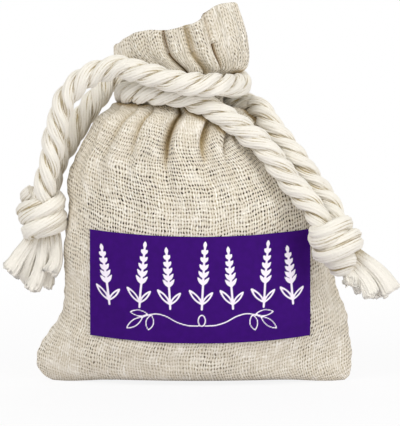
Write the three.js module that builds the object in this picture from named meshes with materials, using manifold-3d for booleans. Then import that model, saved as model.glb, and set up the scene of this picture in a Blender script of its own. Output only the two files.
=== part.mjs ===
// A lavender sachet: a small filled linen pouch, drawn in at the neck by two knotted cotton cords.
// Millimetres, +Z up, the front faces -Y, and the pouch stands on its base at z = 0.
import * as THREE from "three";
import { mergeVertices } from "three/addons/utils/BufferGeometryUtils.js";
import Module from "manifold-3d";

const wasm = await Module();
wasm.setup();

// Pouch
const pouchWidth = 79.2; // across the two bottom corners
const pouchDepth = 35.6; // front to back at the belly
const clothThickness = 0.8;
const hemWidth = 6; // depth of the turned-in edge round the mouth
const contactGap = 0.3; // between pieces that touch
const seamGap = 0.3; // between the two panels along the side seams

// Drawn-in neck
const neckHeight = 69.5; // base to the lower end of the neck
const neckLength = 8; // height of the stretch that the cords hold
const neckWidth = 21;
const neckDepth = 12.8;
const neckOffset = -3.25; // the neck stands left of the middle
const pleatDepth = 3;

// Ruffle above the neck
const ruffleHeight = 11.6; // neck to the middle of the mouth's edge
const ruffleWidth = 31.6;
const ruffleDepth = 14.6;

// Label
const labelWidth = 53.8; // as seen from the front
const labelHeight = 26.2;
const labelThickness = 0.4;
const labelBase = 12.7; // base of the pouch to the label's lower corners
const labelOffset = 1.25;
const labelDip = 1.35; // the middle of the label hangs lower than its corners

// Cords
const cordDiameter = 6;
const knotWidth = 13.2;
const knotLength = 14.4;
const tasselLength = 15;
const lockWidth = 5; // one lock of frayed yarn, at its thickest

// Facets and steps
const panelColumns = 32;
const labelColumns = 18;
const labelRows = 6;
const fillColumns = 32;
const cordSides = 10;
const coreSides = 14;
const coreRings = 10;
const wrapSteps = 26;
const lockSides = 7;
const lockRings = 5;
const heightSearchSteps = 40;
const routeFineness = 20; // steps between two points of a route when its length is measured
const decimals = 4; // corners that agree to this many are one

const halfTurn = Math.PI;
const fullTurn = 2 * Math.PI;

// The filled body, from the base up to the neck. Each row holds shares of the neck's height, of half the
// pouch's width and of half its depth, then the offset as a share of half the width, the roundness of the
// section (1 is pointed at both sides, 2 is an ellipse), the share of the pleats and the sideways tilt.
const bodyShares = [
  [0, 0.93, 0.534, 0.022, 1.2, 0, 0],
  [0.017, 0.97, 0.685, 0.012, 1.1, 0, 0],
  [0.05, 0.995, 0.787, 0, 1.1, 0, 0],
  [0.1, 1, 0.876, 0, 1.15, 0, 0],
  [0.158, 0.972, 0.944, 0.022, 1.3, 0, 0],
  [0.23, 0.914, 0.989, 0.054, 1.6, 0, 0],
  [0.345, 0.86, 1, 0.032, 1.9, 0, 0],
  [0.489, 0.833, 0.978, 0.005, 2, 0, 0],
  [0.633, 0.803, 0.933, 0, 2, 0, 0],
  [0.763, 0.745, 0.854, -0.058, 2, 0.25, 0],
  [0.863, 0.611, 0.742, -0.104, 2, 0.6, 0],
  [0.935, 0.492, 0.596, -0.126, 2, 0.9, -0.04],
  [0.968, 0.37, 0.483, -0.122, 2, 1, -0.06],
];

// The neck: share of its length, pleats, tilt.
const neckShares = [
  [0, 1, -0.04],
  [0.5, 1, -0.04],
  [1, 1, -0.02],
];

// The ruffle: shares of its height, width and depth, offset as a share of half its width, pleats, tilt.
const ruffleShares = [
  [0.15, 0.9, 0.9, -0.085, 0.8, 0.04],
  [0.5, 1.02, 1, -0.235, 0.7, 0.18],
  [1, 0.987, 0.96, -0.304, 0.6, 0.35],
];
const ruffleRoundness = 1.7;
const neckRoundness = 2;

// Folds round the neck, front and then back. Each row holds where the fold lies at the mouth, at the neck
// and on the body, as shares of a turn from the right side, and its shares of the pleat's depth and of a turn.
const foldShares = [
  [0.069, 0.042, 0.078, 0.7, 0.024],
  [0.161, 0.106, 0.144, 1, 0.022],
  [0.222, 0.167, 0.203, 1, 0.024],
  [0.283, 0.261, 0.272, 1, 0.024],
  [0.356, 0.333, 0.322, 0.6, 0.026],
  [0.417, 0.403, 0.389, 0.4, 0.028],
  [0.56, 0.57, 0.565, 0.6, 0.026],
  [0.62, 0.63, 0.635, 1, 0.024],
  [0.69, 0.695, 0.7, 0.9, 0.024],
  [0.76, 0.76, 0.765, 1, 0.024],
  [0.83, 0.825, 0.82, 0.8, 0.024],
  [0.9, 0.885, 0.88, 1, 0.024],
  [0.96, 0.95, 0.945, 0.6, 0.024],
];

// Every row above as a station in millimetres.
const stations = [
  ...bodyShares.map(([height, width, depth, offset, roundness, pleats, tilt]) => ({
    height: height * neckHeight,
    halfWidth: (width * pouchWidth) / 2,
    halfDepth: (depth * pouchDepth) / 2,
    middle: (offset * pouchWidth) / 2,
    roundness,
    pleats,
    tilt,
  })),
  ...neckShares.map(([height, pleats, tilt]) => ({
    height: neckHeight + height * neckLength,
    halfWidth: neckWidth / 2,
    halfDepth: neckDepth / 2,
    middle: neckOffset,
    roundness: neckRoundness,
    pleats,
    tilt,
  })),
  ...ruffleShares.map(([height, width, depth, offset, pleats, tilt]) => ({
    height: neckHeight + neckLength + height * ruffleHeight,
    halfWidth: (width * ruffleWidth) / 2,
    halfDepth: (depth * ruffleDepth) / 2,
    middle: (offset * ruffleWidth) / 2,
    roundness: ruffleRoundness,
    pleats,
    tilt,
  })),
];
const mouth = stations.length - 1;
const neckStart = bodyShares.length;
const neckEnd = neckStart + neckShares.length - 1;
const pleatStart = bodyShares.findIndex((row) => row[5] > 0) - 1;
const shoulder = neckStart - 2; // the filling reaches up to this station

// One value of the stations at a place between two of them, on a smooth curve through all.
function along(key, place) {
  const i = Math.min(Math.floor(place), mouth - 1);
  const t = place - i;
  const at = (n) => stations[THREE.MathUtils.clamp(n, 0, mouth)][key];
  const [a, b, c, d] = [at(i - 1), at(i), at(i + 1), at(i + 2)];
  return b + 0.5 * t * (c - a + t * (2 * a - 5 * b + 4 * c - d + t * (3 * (b - c) + d - a)));
}

// How far the folds draw the cloth in at a turn share and a place.
function foldDepth(turn, place) {
  const toNeck = THREE.MathUtils.smoothstep(place, pleatStart, neckStart);
  const toMouth = THREE.MathUtils.smoothstep(place, neckEnd, mouth);
  let deepest = 0;
  for (const [atMouth, atNeck, onBody, depth, width] of foldShares) {
    const centre = THREE.MathUtils.lerp(THREE.MathUtils.lerp(onBody, atNeck, toNeck), atMouth, toMouth);
    const away = (turn - centre) / width;
    deepest = Math.max(deepest, depth * Math.exp(-away * away));
  }
  return deepest * pleatDepth * Math.max(along("pleats", place), 0);
}

// A point of the cloth. The turn share runs from the right side over the front to the left and back behind.
function clothPoint(turn, place, inset, pleated = true) {
  const angle = turn * fullTurn;
  const side = Math.cos(angle);
  const front = Math.sin(angle);
  const roundness = along("roundness", place);
  const x = along("halfWidth", place) * side;
  const y = -along("halfDepth", place) * Math.sign(front) * Math.abs(front) ** (2 / roundness);
  const radius = Math.hypot(x, y);
  const drawnIn = pleated ? foldDepth(turn, place) : pleatDepth * Math.max(along("pleats", place), 0);
  const share = 1 - (drawnIn + inset) / radius;
  const floorLift = inset * Math.max(1 - place / pleatStart, 0);
  return new THREE.Vector3(
    along("middle", place) + x * share,
    y * share,
    along("height", place) + along("tilt", place) * x + floorLift,
  );
}

// Triangles from a list of faces, with doubled corners merged and empty triangles left out.
function closedGeometry(corners, faces) {
  const keys = new Map();
  const merged = [];
  const place = corners.map((corner) => {
    const key = corner.toArray().map((value) => value.toFixed(decimals)).join();
    if (!keys.has(key)) {
      keys.set(key, merged.length);
      merged.push(corner);
    }
    return keys.get(key);
  });
  const index = [];
  for (const face of faces) {
    const [a, b, c] = face.map((corner) => place[corner]);
    if (a !== b && b !== c && c !== a) index.push(a, b, c);
  }
  const geometry = new THREE.BufferGeometry().setFromPoints(merged);
  geometry.setIndex(index);
  return facingOut(geometry);
}

// Turns every face round where the volume comes out negative.
function facingOut(geometry) {
  const points = geometry.getAttribute("position");
  const index = geometry.index.array;
  const [a, b, c] = [new THREE.Vector3(), new THREE.Vector3(), new THREE.Vector3()];
  let volume = 0;
  for (let i = 0; i < index.length; i += 3) {
    a.fromBufferAttribute(points, index[i]);
    b.fromBufferAttribute(points, index[i + 1]);
    c.fromBufferAttribute(points, index[i + 2]);
    volume += a.dot(b.cross(c));
  }
  if (volume > 0) return geometry;
  for (let i = 0; i < index.length; i += 3) {
    [index[i], index[i + 1]] = [index[i + 1], index[i]];
  }
  return geometry;
}

// The two triangles between corner i of a ring and the same corner of the next ring.
function band(ring, i, size) {
  const next = (i + 1) % size;
  const here = ring * size;
  const beyond = here + size;
  return [
    [here + i, here + next, beyond + i],
    [here + next, beyond + next, beyond + i],
  ];
}

// Makes a thin wall from rows of two chains, an outer and an inner one, joined at both ends into a ring.
// The places say how far along its chain each corner is, so that the two end faces can be zipped shut.
function thinWall(outerRows, innerRows, outerPlaces, innerPlaces) {
  const rings = outerRows.map((outer, row) => [...outer, ...[...innerRows[row]].reverse()]);
  const size = rings[0].length;
  const faces = [];
  for (let ring = 0; ring + 1 < rings.length; ring++) {
    for (let i = 0; i < size; i++) faces.push(...band(ring, i, size));
  }
  for (const ring of [0, rings.length - 1]) {
    const first = ring * size;
    const onOuter = (i) => first + i;
    const onInner = (i) => first + size - 1 - i;
    let [outer, inner] = [0, 0];
    while (outer + 1 < outerPlaces.length || inner + 1 < innerPlaces.length) {
      const outerLeft = outer + 1 < outerPlaces.length;
      const innerDone = inner + 1 === innerPlaces.length;
      const stepOuter = outerLeft && (innerDone || outerPlaces[outer + 1] <= innerPlaces[inner + 1]);
      const third = stepOuter ? onOuter(outer + 1) : onInner(inner + 1);
      const face = [onOuter(outer), onInner(inner), third];
      faces.push(ring ? face.reverse() : face);
      if (stepOuter) outer++;
      else inner++;
    }
  }
  return closedGeometry(rings.flat(), faces);
}

// A three.js geometry as a solid for joins and cuts, and back.
function toSolid(geometry) {
  const bare = geometry.clone();
  bare.deleteAttribute("normal");
  bare.deleteAttribute("uv");
  const merged = mergeVertices(bare, 10 ** -decimals);
  return new wasm.Manifold(
    new wasm.Mesh({
      numProp: 3,
      vertProperties: merged.getAttribute("position").array,
      triVerts: new Uint32Array(merged.index.array),
    }),
  );
}

function toGeometry(solid) {
  const mesh = solid.getMesh();
  const geometry = new THREE.BufferGeometry();
  geometry.setAttribute("position", new THREE.BufferAttribute(mesh.vertProperties, 3));
  geometry.setIndex(new THREE.BufferAttribute(mesh.triVerts, 1));
  return geometry;
}

// Whole places, and halves of them from a given one on.
function placesUpTo(end, halvesFrom) {
  const places = [];
  for (let place = 0; place <= end; place += place < halvesFrom ? 1 : 0.5) places.push(place);
  return places;
}

// One panel of the pouch: floor, outer face, hem and inner face, as a ring for each column.
function panel(side) {
  const hemPlace = mouth - (hemWidth / ruffleHeight) * (mouth - neckEnd - 1);
  const outerPlaces = placesUpTo(mouth, pleatStart);
  const innerPlaces = placesUpTo(mouth, shoulder).filter((place) => place < hemPlace);
  const hemPlaces = [hemPlace, mouth];
  const firstTurn = side < 0 ? 0 : 0.5;
  const onFloor = (corner) => new THREE.Vector3(corner.x, 0, corner.z);
  const outerRows = [];
  const innerRows = [];
  for (let column = 0; column <= panelColumns; column++) {
    const turn = firstTurn + (0.5 * column) / panelColumns;
    const outer = outerPlaces.map((place) => clothPoint(turn, place, 0));
    const inner = innerPlaces.map((place) => clothPoint(turn, place, clothThickness));
    inner.push(...hemPlaces.map((place) => clothPoint(turn, place, 2 * clothThickness)));
    outer.unshift(onFloor(outer[0]));
    inner.unshift(onFloor(inner[0]));
    const atSeam = column === 0 || column === panelColumns;
    for (const corner of [...outer, ...inner]) corner.y = (atSeam ? 0 : corner.y) + (side * seamGap) / 2;
    outerRows.push(outer);
    innerRows.push(inner);
  }
  return thinWall(outerRows, innerRows, [-1, ...outerPlaces], [-1, ...innerPlaces, ...hemPlaces]);
}

// The dried lavender: one solid that fills the body inside the cloth, up to the shoulder.
function lavenderFill() {
  const inset = clothThickness + contactGap;
  const rings = [];
  for (let place = 0; place <= shoulder; place++) {
    const corner = (_, column) => clothPoint(column / fillColumns, place, inset, false);
    rings.push(Array.from({ length: fillColumns }, corner));
  }
  const corners = rings.flat();
  const faces = [];
  const floor = corners.length;
  const top = floor + 1;
  const last = (rings.length - 1) * fillColumns;
  corners.push(new THREE.Vector3(along("middle", 0), 0, rings[0][0].z));
  const peak = along("height", shoulder) + clothThickness;
  corners.push(new THREE.Vector3(along("middle", shoulder), 0, peak));
  for (let column = 0; column < fillColumns; column++) {
    const next = (column + 1) % fillColumns;
    for (let ring = 0; ring + 1 < rings.length; ring++) faces.push(...band(ring, column, fillColumns));
    faces.push([next, column, floor], [last + column, last + next, top]);
  }
  return closedGeometry(corners, faces);
}

// The front of the body at a given x and z, as a point and the way that it faces.
function frontOf(x, z) {
  let [low, high] = [0, shoulder];
  for (let step = 0; step < heightSearchSteps; step++) {
    const half = (low + high) / 2;
    if (along("height", half) < z) low = half;
    else high = half;
  }
  const share = (x - along("middle", low)) / along("halfWidth", low);
  const rise = Math.max(1 - share * share, 0) ** (1 / along("roundness", low));
  return new THREE.Vector3(x, -along("halfDepth", low) * rise - seamGap / 2, z);
}

function frontLifted(x, z, lift) {
  const reach = clothThickness;
  const across = frontOf(x + reach, z).sub(frontOf(x - reach, z));
  const up = frontOf(x, z + reach).sub(frontOf(x, z - reach));
  const facing = across.cross(up).normalize();
  return frontOf(x, z).addScaledVector(facing, lift);
}

// The label: a thin sheet that follows the belly, with its middle hanging lower than its corners.
function label() {
  const places = Array.from({ length: labelRows + 1 }, (_, row) => row / labelRows);
  const backRows = [];
  const faceRows = [];
  for (let column = 0; column <= labelColumns; column++) {
    const across = (2 * column) / labelColumns - 1;
    const x = labelOffset + (across * labelWidth) / 2;
    const low = labelBase - labelDip * (1 - across * across);
    const heights = places.map((place) => low + labelHeight * place);
    backRows.push(heights.map((z) => frontLifted(x, z, contactGap)));
    faceRows.push(heights.map((z) => frontLifted(x, z, contactGap + labelThickness)));
  }
  return thinWall(backRows, faceRows, places, places);
}

// Routes of the cords, knot to knot. The left cord crosses the front of the neck over the right one, turns
// behind it and comes back out at the left. The right cord does the same from the other side, underneath.
const leftRoute = [
  [-38.4, -2, 42.4],
  [-37.4, -5.6, 49.5],
  [-35.6, -6.4, 57.5],
  [-34.1, -7.2, 65],
  [-32.1, -8, 71.2],
  [-28.2, -8.8, 75.7],
  [-23.4, -9.7, 78.2],
  [-18.9, -11, 79.1],
  [-12.8, -13.6, 77.8],
  [-6.3, -15.2, 76],
  [-0.5, -15.3, 75.1],
  [5, -13, 75],
  [9.4, -7.6, 74.4],
  [11.3, -1, 74.6],
  [9.3, 5, 75.8],
  [3, 9, 76.2],
  [-4, 9.9, 76.9],
  [-11, 9, 77.5],
  [-16.8, 6.9, 77.4],
  [-22, 5.9, 74.9],
  [-25.3, 4, 70],
  [-28.6, 3.2, 65.3],
  [-32, 2.8, 59.8],
  [-35.2, 2.3, 53.6],
  [-36.4, 1.7, 49.4],
  [-38.4, -2, 42.4],
];
const rightRoute = [
  [33.4, -19.4, 35],
  [29.8, -16.6, 43.5],
  [26.8, -14.8, 47.3],
  [23.75, -13.9, 50.9],
  [20.5, -13.6, 55.3],
  [17, -13.3, 59.6],
  [13, -12.9, 62.9],
  [8.5, -12.2, 66.1],
  [5, -11.3, 68.4],
  [1.5, -10.3, 70.2],
  [-1.8, -9.9, 71.5],
  [-6.3, -9.8, 72.2],
  [-11.3, -8.2, 72.8],
  [-15.6, -4.8, 72.7],
  [-17.2, 0, 72.2],
  [-15, 5.3, 71.6],
  [-10, 8.7, 71],
  [-3.3, 9.8, 70.3],
  [3.4, 8.9, 69.7],
  [8.4, 6.4, 69.4],
  [12.8, 2.8, 69.3],
  [16.4, -0.8, 68],
  [19.7, -5.2, 63.2],
  [24.8, -8.2, 57],
  [29.3, -9, 50.6],
  [33.8, -10.6, 44.3],
  [35.6, -15, 36],
];

// Places in each route where the cord leaves the neck and can swing.
const leftLeaves = [7, 18];
const rightLeaves = [6, 21];

function routeCurve(route) {
  const points = route.map((point) => new THREE.Vector3(...point));
  const curve = new THREE.CatmullRomCurve3(points, false, "centripetal");
  curve.arcLengthDivisions = routeFineness * (route.length - 1);
  return curve;
}

// Length along a route from its start to one of its points.
const lengthTo = (curve, pointIndex) => curve.getLengths()[routeFineness * pointIndex];

// A round cord along a stretch of a route, given in lengths from the route's start.
function cordTube(curve, from, to) {
  const total = curve.getLength();
  const steps = Math.max(Math.round((to - from) / cordDiameter), 4);
  const points = Array.from({ length: steps + 1 }, (_, i) => {
    const place = THREE.MathUtils.lerp(from, to, i / steps);
    return curve.getPointAt(THREE.MathUtils.clamp(place / total, 0, 1));
  });
  const path = new THREE.CatmullRomCurve3(points, false, "centripetal");
  const section = new THREE.Shape();
  for (let side = 0; side < cordSides; side++) {
    const angle = (fullTurn * side) / cordSides;
    const corner = [(Math.cos(angle) * cordDiameter) / 2, (Math.sin(angle) * cordDiameter) / 2];
    if (side) section.lineTo(...corner);
    else section.moveTo(...corner);
  }
  section.closePath();
  const extrusion = { steps, extrudePath: path, bevelEnabled: false, curveSegments: 1 };
  return new THREE.ExtrudeGeometry(section, extrusion);
}

function ball(centre, radius, sides) {
  return new THREE.SphereGeometry(radius, sides, sides / 2).translate(centre.x, centre.y, centre.z);
}

// A tube of changing width along a curve, closed at both ends.
function taperedTube(curve, widthAt, rings, sides) {
  const frames = curve.computeFrenetFrames(rings, false);
  const loops = [];
  for (let ring = 0; ring <= rings; ring++) {
    const centre = curve.getPointAt(ring / rings);
    const radius = widthAt(ring / rings) / 2;
    loops.push(
      Array.from({ length: sides }, (_, side) => {
        const angle = (fullTurn * side) / sides;
        return centre
          .clone()
          .addScaledVector(frames.normals[ring], radius * Math.cos(angle))
          .addScaledVector(frames.binormals[ring], radius * Math.sin(angle));
      }),
    );
  }
  const corners = loops.flat();
  const faces = [];
  for (let ring = 0; ring < rings; ring++) {
    for (let side = 0; side < sides; side++) faces.push(...band(ring, side, sides));
  }
  for (let side = 1; side + 1 < sides; side++) {
    const last = rings * sides;
    faces.push([0, side + 1, side], [last, last + side, last + side + 1]);
  }
  return closedGeometry(corners, faces);
}

// An overhand knot: a packed core with the rope wound round it, enlarged by a clearance for cuts.
const wrapTurns = 1.7;
const coreShare = 0.9; // the core's size as a share of the knot's
const tuckShare = 0.35; // how far out the ends of the winding lie, as a share of its middle

function knotSolid(knot, clearance) {
  const turned = new THREE.Quaternion().setFromUnitVectors(new THREE.Vector3(0, 0, 1), knot.axis);
  const place = new THREE.Matrix4().compose(knot.centre, turned, new THREE.Vector3(1, 1, 1));
  const coreRadius = (coreShare * knotWidth) / 2 + clearance;
  const coreLength = (coreShare * knotLength) / 2 + clearance;
  const core = new THREE.SphereGeometry(1, coreSides, coreRings).rotateX(halfTurn / 2);
  core.scale(coreRadius, coreRadius, coreLength).applyMatrix4(place);
  const reach = (knotWidth - cordDiameter) / 2;
  const climb = knotLength - cordDiameter;
  const points = Array.from({ length: wrapSteps + 1 }, (_, i) => {
    const share = i / wrapSteps;
    const angle = knot.twist * fullTurn * wrapTurns * share;
    const out = reach * THREE.MathUtils.lerp(tuckShare, 1, Math.sqrt(Math.sin(halfTurn * share)));
    return new THREE.Vector3(out * Math.cos(angle), out * Math.sin(angle), climb * (share - 0.5));
  });
  const ropeWidth = cordDiameter + 2 * clearance;
  const wrap = taperedTube(new THREE.CatmullRomCurve3(points), () => ropeWidth, wrapSteps, cordSides);
  const ends = [points[0], points[wrapSteps]].map((end) => ball(end, ropeWidth / 2, coreSides));
  return [wrap, ...ends].reduce((all, piece) => all.add(toSolid(piece.applyMatrix4(place))), toSolid(core));
}

// A frayed tassel: locks of yarn that leave the knot and spread to their tips.
const lockBendShare = 0.6; // how far below the knot's centre the locks bend, as a share of its length
const taperShare = 0.25; // the last stretch of a lock, which narrows
const tipWidthShare = 0.4;

function tasselGeometry(knot) {
  const bend = knot.centre.clone().addScaledVector(knot.axis, -lockBendShare * knotLength);
  const widthAt = (share) => {
    const towardsTip = Math.max(share - 1 + taperShare, 0) / taperShare;
    return lockWidth * THREE.MathUtils.lerp(1, tipWidthShare, towardsTip);
  };
  const locks = knot.tipShares.map((shares) => {
    const tip = knot.centre.clone().addScaledVector(new THREE.Vector3(...shares), tasselLength);
    const curve = new THREE.QuadraticBezierCurve3(knot.centre, bend, tip);
    return toSolid(taperedTube(curve, widthAt, lockRings, lockSides));
  });
  const whole = locks.reduce((all, lock) => all.add(lock));
  return toGeometry(whole.subtract(knotSolid(knot, contactGap)));
}

// The middle of a knot lies between the two ends of its cord's route.
function knotCentre(route) {
  return new THREE.Vector3(...route[0]).lerp(new THREE.Vector3(...route[route.length - 1]), 0.5);
}

const leftKnot = {
  centre: knotCentre(leftRoute),
  axis: new THREE.Vector3(-0.12, 0.02, 1).normalize(),
  twist: 1,
  tipShares: [
    [-0.575, -0.05, -0.93],
    [-0.36, 0.12, -1.12],
    [-0.16, -0.16, -1.28],
    [0.08, 0.08, -1.22],
    [0.26, -0.2, -0.98],
  ],
};
const rightKnot = {
  centre: knotCentre(rightRoute),
  axis: new THREE.Vector3(-0.55, -0.05, 0.82).normalize(),
  twist: -1,
  tipShares: [
    [1.06, -0.05, -0.87],
    [0.84, 0.16, -0.9],
    [0.6, -0.14, -0.92],
    [0.36, 0.08, -0.86],
    [0.2, -0.12, -0.74],
  ],
};

const materials = {
  linen: new THREE.MeshStandardMaterial({ color: 0xe1d8c4, roughness: 0.95, metalness: 0 }),
  cotton: new THREE.MeshStandardMaterial({ color: 0xf0ece2, roughness: 0.9, metalness: 0 }),
  label: new THREE.MeshStandardMaterial({ color: 0x48187a, roughness: 0.6, metalness: 0 }),
  lavender: new THREE.MeshStandardMaterial({ color: 0x7a6a94, roughness: 1, metalness: 0 }),
};

const sachet = new THREE.Group();

function addPiece(name, geometry, material) {
  const mesh = new THREE.Mesh(geometry, material);
  mesh.name = name;
  sachet.add(mesh);
}

// A cord's loop round the neck, its two free strands, and the knot and tassel that end them.
function addCord(side, route, leaves, knot, strandNames) {
  const curve = routeCurve(route);
  const [first, second] = leaves.map((index) => lengthTo(curve, index));
  const clear = cordDiameter / 2 + contactGap;
  const cutter = knotSolid(knot, contactGap);
  const strands = [
    [0, first, leaves[0]],
    [second, curve.getLength(), leaves[1]],
  ];
  addPiece(side + "_cord_neck_loop", cordTube(curve, first + clear, second - clear), materials.cotton);
  strands.forEach(([from, to, leave], i) => {
    const rounded = toSolid(ball(curve.points[leave], cordDiameter / 2, cordSides));
    const strand = toSolid(cordTube(curve, from, to)).add(rounded).subtract(cutter);
    addPiece(side + "_cord_" + strandNames[i], toGeometry(strand), materials.cotton);
  });
  addPiece(side + "_knot", toGeometry(knotSolid(knot, 0)), materials.cotton);
  addPiece(side + "_tassel", tasselGeometry(knot), materials.cotton);
}

addPiece("front_panel", panel(-1), materials.linen);
addPiece("back_panel", panel(1), materials.linen);
addPiece("lavender_fill", lavenderFill(), materials.lavender);
addPiece("label", label(), materials.label);
addCord("left", leftRoute, leftLeaves, leftKnot, ["outer_strand", "inner_strand"]);
addCord("right", rightRoute, rightLeaves, rightKnot, ["lower_strand", "upper_strand"]);

export default sachet;
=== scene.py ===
"""A lavender sachet: a filled linen pouch with a printed label, drawn in by two knotted cotton cords."""

import math
from collections import namedtuple

import bpy
import numpy as np
from bpy.props import FloatProperty, FloatVectorProperty, PointerProperty
from bpy.types import Operator, Panel, PropertyGroup
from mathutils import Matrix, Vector
from mathutils.bvhtree import BVHTree


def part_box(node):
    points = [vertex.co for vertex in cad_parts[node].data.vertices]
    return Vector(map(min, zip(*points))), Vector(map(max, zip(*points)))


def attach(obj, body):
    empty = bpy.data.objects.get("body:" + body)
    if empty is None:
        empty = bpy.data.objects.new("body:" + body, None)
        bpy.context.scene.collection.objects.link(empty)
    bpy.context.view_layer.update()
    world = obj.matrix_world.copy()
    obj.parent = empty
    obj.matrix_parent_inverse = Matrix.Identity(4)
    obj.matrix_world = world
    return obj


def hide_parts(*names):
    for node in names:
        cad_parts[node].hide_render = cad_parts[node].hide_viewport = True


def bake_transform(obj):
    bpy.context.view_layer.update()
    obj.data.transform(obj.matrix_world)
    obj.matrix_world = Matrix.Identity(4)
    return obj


bl_info = {
    "name": "Lavender Sachet",
    "version": (1, 0, 0),
    "blender": (4, 5, 0),
    "location": "View3D > Sidebar > Sachet",
    "description": "Dresses the frame of a lavender sachet in linen, cotton rope and a printed label",
    "category": "Add Mesh",
}

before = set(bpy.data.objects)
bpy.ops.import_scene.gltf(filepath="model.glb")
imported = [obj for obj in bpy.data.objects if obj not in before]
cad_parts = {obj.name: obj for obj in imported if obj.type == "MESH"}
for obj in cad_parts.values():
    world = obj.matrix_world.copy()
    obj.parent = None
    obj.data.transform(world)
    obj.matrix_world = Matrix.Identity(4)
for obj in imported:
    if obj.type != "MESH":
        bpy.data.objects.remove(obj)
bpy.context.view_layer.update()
MM = 0.001
TURN = 2 * math.pi


def box_mm(node):
    """The lowest and highest corner of a node of the frame, in millimetres."""
    low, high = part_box(node)
    return np.array(low) / MM, np.array(high) / MM


FRONT_LOW, FRONT_HIGH = box_mm("front_panel")
_, BACK_HIGH = box_mm("back_panel")
LABEL_LOW, LABEL_HIGH = box_mm("label")


def linear(red, green, blue):
    """A colour of the screen, 0 to 255, as the renderer's own linear one."""
    shares = (value / 255 for value in (red, green, blue))
    return tuple(s / 12.92 if s < 0.04045 else ((s + 0.055) / 1.055) ** 2.4 for s in shares)


def colour_property(name, description, default):
    return FloatVectorProperty(
        name=name, description=description, subtype="COLOR", size=3, min=0, max=1, default=default
    )


class SachetSizes(PropertyGroup):
    """Sizes in millimetres."""

    cloth_thickness: FloatProperty(name="Cloth", description="Thickness of the linen", default=0.7)
    warp_pitch: FloatProperty(name="Warp pitch", description="Between upright threads", default=0.7)
    weft_pitch: FloatProperty(name="Weft pitch", description="Between level threads", default=1.02)
    hem_width: FloatProperty(name="Hem", description="Width of the turned-in hem", default=6)
    cord_diameter: FloatProperty(name="Cord", description="Diameter of the rope", default=6)
    cord_lay: FloatProperty(name="Lay", description="Length of one turn of a strand", default=15.5)
    yarn_diameter: FloatProperty(name="Yarn", description="Diameter of one frayed yarn", default=0.5)
    label_thickness: FloatProperty(name="Label", description="Thickness of the label", default=0.35)


class SachetColours(PropertyGroup):
    """Colours of the cloth, the rope and the label."""

    linen_light: colour_property("Linen threads", "Light threads", linear(255, 251, 242))
    linen_dark: colour_property("Linen, darker", "Darker threads and slubs", linear(229, 221, 206))
    # Painted shade in the grooves between threads.
    linen_gap_shade: colour_property("Weave gaps", "Between neighbouring threads", linear(176, 160, 122))
    # Real holes, painted with the shade of the inside seen through them.
    linen_hole_shade: colour_property("Weave holes", "Holes between threads", linear(44, 31, 16))
    # Painted shade at the bottom of the sharp folds and beneath the ropes.
    linen_crease_shade: colour_property("Creases", "Bottom of the sharp folds", linear(138, 106, 62))
    # Painted shade of deep folds, beneath the rope loops and along the side seams.
    linen_valley_shade: colour_property("Valleys", "Tint of deep folds", linear(206, 186, 134))
    cotton: colour_property("Cotton", "Rope and tassels", linear(246, 242, 232))
    # Painted shade in the grooves between yarns and strands.
    cotton_crease_shade: colour_property("Cotton, creases", "Between yarns and strands", linear(172, 153, 108))
    label_ground: colour_property("Label", "Ground of the label", linear(63, 8, 122))
    label_print: colour_property("Print", "Printed ornament", linear(250, 242, 255))


def operation(name, reverse=False):
    """A method that feeds a field and what it is combined with to a maths node."""

    def apply(self, *others):
        values = (*others, self) if reverse else (self, *others)
        return self.nodes.field("ShaderNodeMath", values, operation=name)

    return apply


class Field:
    """A number or colour that varies over a surface: a socket that takes part in Python's own maths."""

    def __init__(self, nodes, socket):
        self.nodes = nodes
        self.socket = socket

    __add__ = __radd__ = operation("ADD")
    __sub__ = operation("SUBTRACT")
    __rsub__ = operation("SUBTRACT", reverse=True)
    __mul__ = __rmul__ = operation("MULTIPLY")
    __truediv__ = operation("DIVIDE")
    __gt__ = operation("GREATER_THAN")
    sine = operation("SINE")
    fraction = operation("FRACT")
    floor = operation("FLOOR")
    size = operation("ABSOLUTE")
    at_least = operation("MAXIMUM")

    def step(self, low, high):
        """0 below low, 1 above high, smooth between them."""
        values = (self, low, high, 0.0, 1.0)
        return self.nodes.field("ShaderNodeMapRange", values, interpolation_type="SMOOTHSTEP")


class Nodes:
    """A tree of shader nodes in the making."""

    def __init__(self, tree):
        self.tree = tree

    def node(self, kind, values=(), **settings):
        made = self.tree.nodes.new(kind)
        for key, value in settings.items():
            setattr(made, key, value)
        places = values.items() if isinstance(values, dict) else enumerate(values)
        for place, value in places:
            if isinstance(value, Field):
                self.tree.links.new(value.socket, made.inputs[place])
            else:
                made.inputs[place].default_value = value
        return made

    def field(self, kind, values=(), output=0, **settings):
        return Field(self, self.node(kind, values, **settings).outputs[output])

    def pair(self, vector):
        """The first two coordinates of a vector."""
        parts = self.node("ShaderNodeSeparateXYZ", [vector]).outputs
        return Field(self, parts[0]), Field(self, parts[1])

    def uv(self, name):
        return self.pair(self.field("ShaderNodeUVMap", uv_map=name))

    def attribute(self, name):
        return self.field("ShaderNodeAttribute", output="Fac", attribute_name=name)

    def point(self, x, y, z=0.0):
        return self.field("ShaderNodeCombineXYZ", (x, y, z))

    def noise(self, vector, scale=1.0, detail=2.0, output=0):
        values = {"Vector": vector, "Scale": scale, "Detail": detail}
        return self.field("ShaderNodeTexNoise", values, output)

    def mix(self, share, first, second, blend_type="MIX"):
        """A colour between two. Each is a field, or three numbers."""
        first, second = (c if isinstance(c, Field) else (*c, 1.0) for c in (first, second))
        # The node has sockets of the same name for each kind of data, so those for colours go by number.
        values = {0: share, 6: first, 7: second}
        return self.field("ShaderNodeMix", values, 2, data_type="RGBA", blend_type=blend_type)

    def shade_tint(self, share, colour, shade_tint):
        """A colour darkened by a colour of painted shade, multiplied in where its share is high."""
        return self.mix(share, colour, shade_tint, "MULTIPLY")


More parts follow.
